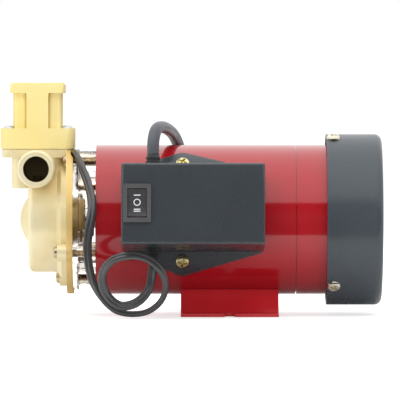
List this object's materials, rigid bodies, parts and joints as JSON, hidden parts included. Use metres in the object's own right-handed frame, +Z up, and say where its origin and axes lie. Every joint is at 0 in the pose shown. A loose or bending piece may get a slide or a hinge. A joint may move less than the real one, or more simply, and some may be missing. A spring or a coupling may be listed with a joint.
{
  "type": "shower pump",
  "caption": "Brass in-line shower booster pump with flow switch, clear lantern, red motor, fan cover and control box with rocker switch",
  "frame": {"origin": "on the floor under the motor axis, at the middle of the foot", "axes": "X from the pump head to the fan along the motor axis, -Y toward the side with the control box, Z up"},
  "size_m": [0.2164, 0.294, 0.1318],
  "materials": {
    "cast_brass": "blasted casting",
    "screw_brass": "polished",
    "pin_brass": "polished",
    "red_paint": "gloss",
    "plastic_dark": "semi gloss",
    "plastic_black": "matte",
    "plastic_cream": "satin",
    "plastic_grey": "satin",
    "clear_plastic": "clear",
    "reed_glass": "clear",
    "rubber_black": "matte",
    "cord_rubber": "satin",
    "steel_bright": "machined",
    "steel_lamination": "stamped",
    "cast_aluminium": "die cast",
    "copper_wire": "enamelled wire"
  },
  "bodies": {
    "pump": {"pump_casing": "cast_brass", "casing_cover": "cast_brass", "casing_ring": "rubber_black", "casing_screws": "screw_brass", "lantern": "clear_plastic", "motor_shell": "red_paint", "front_shield": "cast_aluminium", "rear_shell": "red_paint", "front_bearing": "steel_bright", "rear_bearing": "steel_bright", "stator_core": "steel_lamination", "windings": "copper_wire", "fan_cover": "plastic_dark", "fan_cover_screws": "steel_bright", "foot": "red_paint", "saddle_plate": "plastic_dark", "saddle_screws": "screw_brass", "control_box": "plastic_dark", "box_screws": "screw_brass", "capacitor": "plastic_grey", "terminal_block": "plastic_cream", "rocker_frame": "plastic_black", "lead_bush": "rubber_black", "mains_bush": "rubber_black", "switch_housing": "plastic_cream", "switch_lid": "plastic_cream", "switch_gasket": "rubber_black", "reed_switch": "reed_glass", "switch_screws": "steel_bright", "switch_lead": "cord_rubber", "mains_lead": "cord_rubber", "mains_hank": "cord_rubber", "plug_lead": "cord_rubber", "hank_tie": "plastic_black", "plug_body": "rubber_black", "plug_pins": "pin_brass"},
    "rotating_set": {"impeller": "cast_brass", "impeller_nut": "steel_bright", "shaft_seal": "rubber_black", "water_slinger": "rubber_black", "rotor": "steel_lamination", "motor_shaft": "steel_bright", "cooling_fan": "plastic_black"},
    "rocker": {"rocker": "plastic_black"},
    "piston": {"flow_piston": "plastic_black"}
  },
  "joints": [
    {"name": "shaft_spin", "type": "hinge", "parent": "pump", "child": "rotating_set", "pos_m": [0, 0, 0.0539], "axis": [1, 0, 0], "continuous": true},
    {"name": "rocker_tilt", "type": "hinge", "parent": "pump", "child": "rocker", "pos_m": [-0.0517, -0.0811, 0.0653], "axis": [1, 0, 0], "range_deg": [-9, 9]},
    {"name": "piston_lift", "type": "slide", "parent": "pump", "child": "piston", "axis": [0, 0, 1], "range_m": [0, 0.006]}
  ]
}
